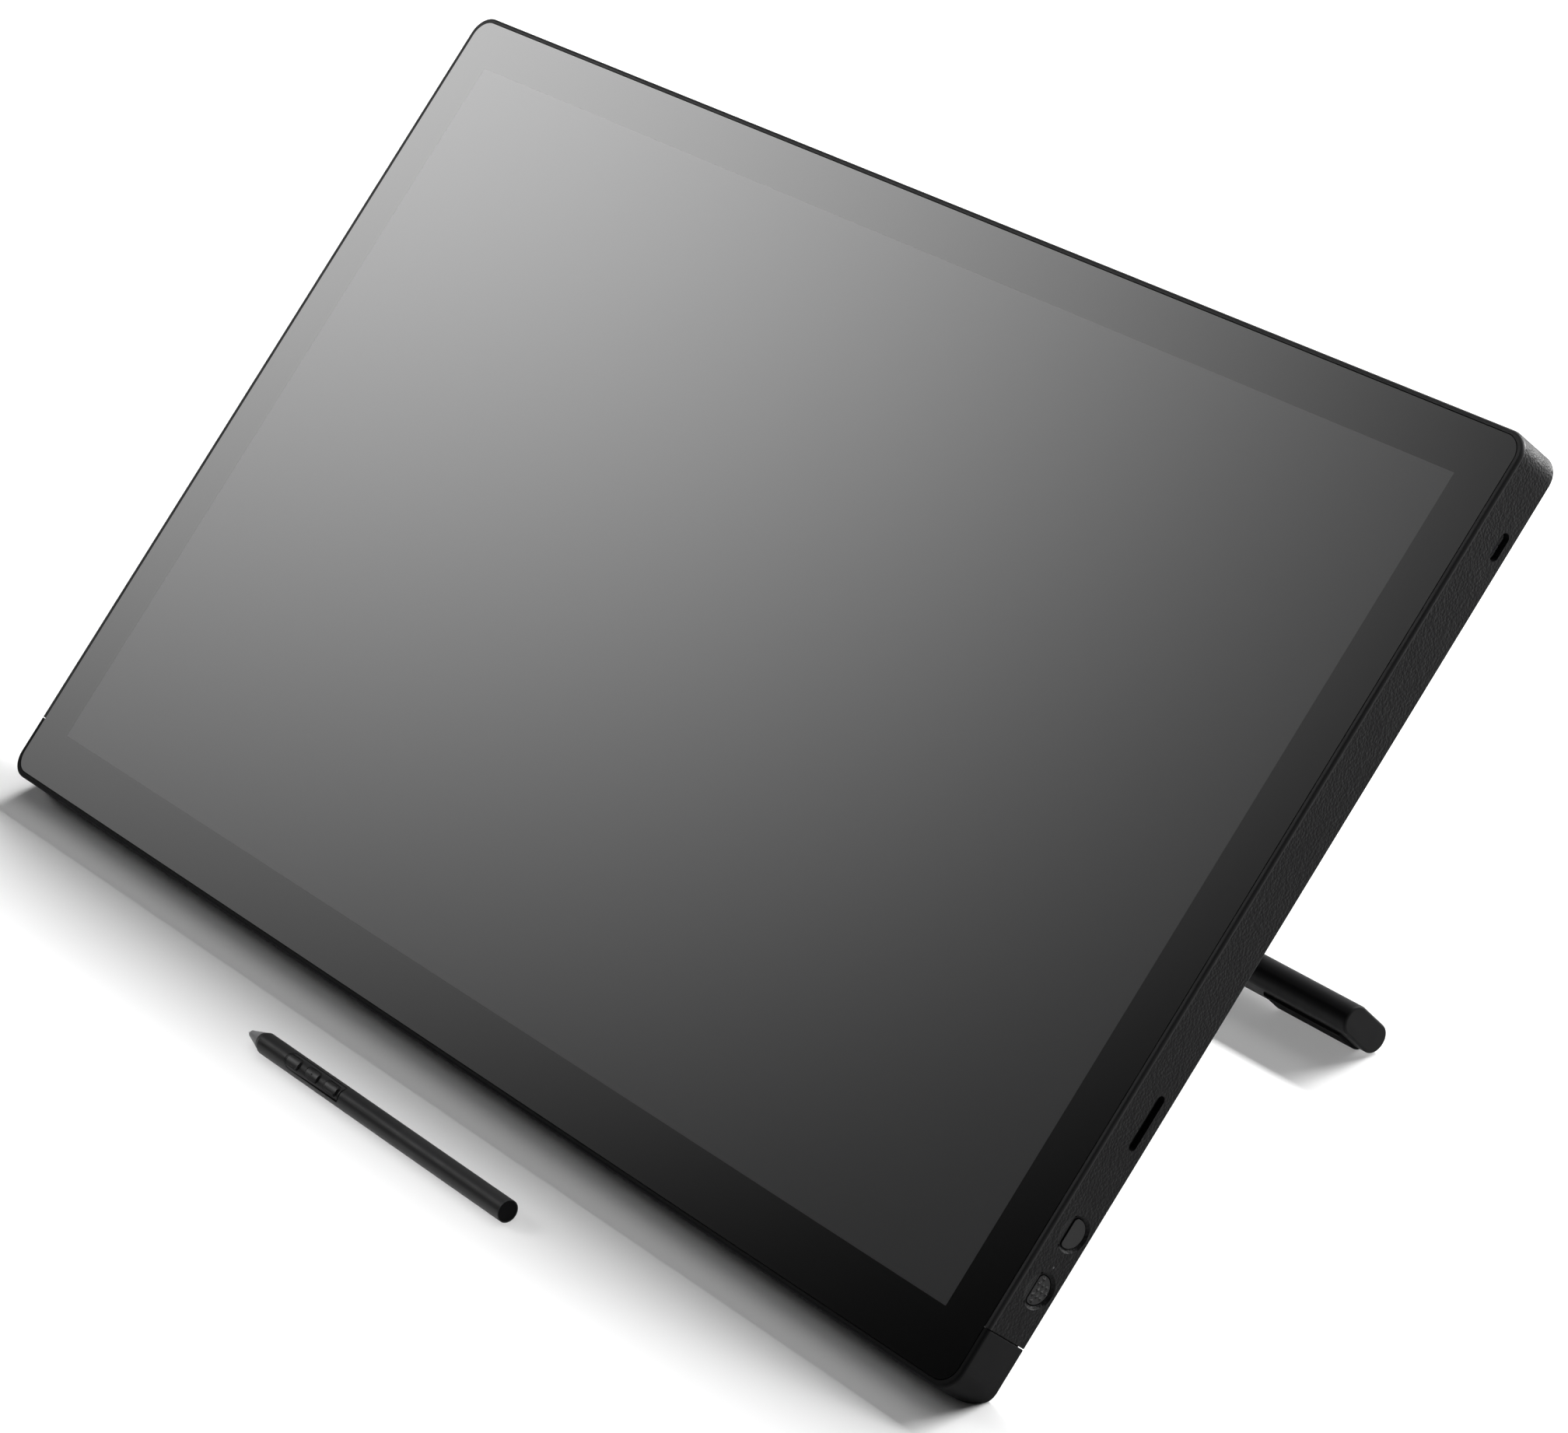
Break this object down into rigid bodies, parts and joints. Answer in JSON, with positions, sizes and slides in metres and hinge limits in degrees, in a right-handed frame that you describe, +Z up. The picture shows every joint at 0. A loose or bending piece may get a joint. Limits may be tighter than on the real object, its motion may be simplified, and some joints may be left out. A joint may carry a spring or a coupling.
{
  "type": "pen display tablet",
  "caption": "Wide flat pen display with a thin rim, side buttons and ports, a fold-out rear stand with a long foot bar, and a slim pen lying in front.",
  "frame": {"origin": "on the table under the middle of the whole object's box, pen included", "axes": "+X to the user's right along the screen, +Y away from the user, +Z up; the screen leans back by 43.2 degrees from the table"},
  "size_m": [0.5668, 0.2958, 0.2411],
  "materials": {
    "cover_glass": "etched anti-glare, black printed border",
    "panel_glass": "dark, unlit",
    "backlight": "white reflector in a tray",
    "circuit_board": "solder mask",
    "foam_tape": "matt foam",
    "rim_plastic": "smooth satin black",
    "chassis_metal": "pressed sheet",
    "textured_plastic": "fine moulded grain, black",
    "rail_plastic": "smooth matt black",
    "button_plastic": "satin black",
    "light_pipe": "clear",
    "connector_metal": "plated",
    "chip_plastic": "moulded epoxy",
    "screw_steel": "black zinc",
    "cable_film": "polyimide film",
    "hinge_steel": "blackened steel",
    "pad_rubber": "matt black rubber",
    "stand_metal": "satin black powder coat",
    "stand_cap": "satin black",
    "nib_plastic": "translucent grey",
    "cone_plastic": "satin grey",
    "pen_plastic": "soft-touch black",
    "pen_tail_plastic": "soft-touch black",
    "pen_cap_plastic": "matt black",
    "coil": "ferrite"
  },
  "bodies": {
    "display": {"cover_glass": "cover_glass", "lcd_panel": "panel_glass", "backlight_unit": "backlight", "sensor_board": "circuit_board", "glass_gasket": "foam_tape", "front_frame": "rim_plastic", "chassis_plate": "chassis_metal", "rear_housing": "textured_plastic", "bottom_rail": "rail_plastic", "status_light_pipe": "light_pipe", "button_board": "circuit_board", "side_switches": "connector_metal", "accessory_socket": "rim_plastic", "usb_c_port": "connector_metal", "port_bezel": "rim_plastic", "main_board": "circuit_board", "board_chips": "chip_plastic", "shield_can": "connector_metal", "heat_spreader": "chassis_metal", "board_standoffs": "screw_steel", "board_screws": "screw_steel", "driver_board": "circuit_board", "driver_standoffs": "screw_steel", "panel_cable": "cable_film", "vesa_plate": "hinge_steel", "vesa_inserts": "hinge_steel", "housing_screws": "screw_steel", "rear_feet": "pad_rubber", "hinge_bracket_right": "hinge_steel", "hinge_bracket_left": "hinge_steel", "hinge_cover_right": "textured_plastic", "hinge_cover_left": "textured_plastic", "hinge_screws": "screw_steel"},
    "stand": {"stand_arm_right": "stand_metal", "stand_arm_left": "stand_metal", "hinge_shaft_right": "hinge_steel", "hinge_shaft_left": "hinge_steel", "friction_washers": "hinge_steel", "foot_bar": "stand_metal", "foot_cap_right": "stand_cap", "foot_cap_left": "stand_cap", "foot_pad_right": "pad_rubber", "foot_pad_left": "pad_rubber", "arm_screws": "screw_steel"},
    "function_button": {"function_button": "button_plastic"},
    "power_button": {"power_button": "button_plastic"},
    "pen": {"pen_nose_cone": "cone_plastic", "pen_barrel": "pen_plastic", "pen_switch_panel": "pen_plastic", "pen_tail": "pen_tail_plastic", "pen_tail_cap": "pen_cap_plastic", "pen_coil": "coil", "pen_pressure_sensor": "chip_plastic", "pen_board": "circuit_board", "pen_side_switches": "connector_metal", "pen_balance_weight": "hinge_steel"},
    "pen_nib": {"pen_nib": "nib_plastic"},
    "pen_switch_front": {"pen_switch_front": "pen_plastic"},
    "pen_switch_middle": {"pen_switch_middle": "pen_plastic"},
    "pen_switch_rear": {"pen_switch_rear": "pen_plastic"}
  },
  "joints": [
    {"name": "stand_hinge", "type": "hinge", "parent": "display", "child": "stand", "pos_m": [0, 0.03194, 0.12243], "axis": [1, 0, 0], "range_deg": [-85, 64]},
    {"name": "function_button_press", "type": "slide", "parent": "display", "child": "function_button", "axis": [-1, 0, 0], "range_m": [0, 0.0004], "stiffness_N_per_m": 4000, "springref_m": -0.0001},
    {"name": "power_button_press", "type": "slide", "parent": "display", "child": "power_button", "axis": [-1, 0, 0], "range_m": [0, 0.0004], "stiffness_N_per_m": 4000, "springref_m": -0.0001},
    {"name": "pen_lift", "type": "slide", "parent": "display", "child": "pen", "axis": [0, 0, 1], "range_m": [0, 0.15]},
    {"name": "pen_nib_press", "type": "slide", "parent": "pen", "child": "pen_nib", "axis": [1, 0, 0], "range_m": [0, 0.0004], "stiffness_N_per_m": 3000, "springref_m": -0.0001},
    {"name": "pen_switch_front_press", "type": "slide", "parent": "pen", "child": "pen_switch_front", "axis": [0, 0.5736, -0.8192], "range_m": [0, 0.0003], "stiffness_N_per_m": 5000, "springref_m": -0.0001},
    {"name": "pen_switch_middle_press", "type": "slide", "parent": "pen", "child": "pen_switch_middle", "axis": [0, 0.5736, -0.8192], "range_m": [0, 0.0003], "stiffness_N_per_m": 5000, "springref_m": -0.0001},
    {"name": "pen_switch_rear_press", "type": "slide", "parent": "pen", "child": "pen_switch_rear", "axis": [0, 0.5736, -0.8192], "range_m": [0, 0.0003], "stiffness_N_per_m": 5000, "springref_m": -0.0001}
  ]
}
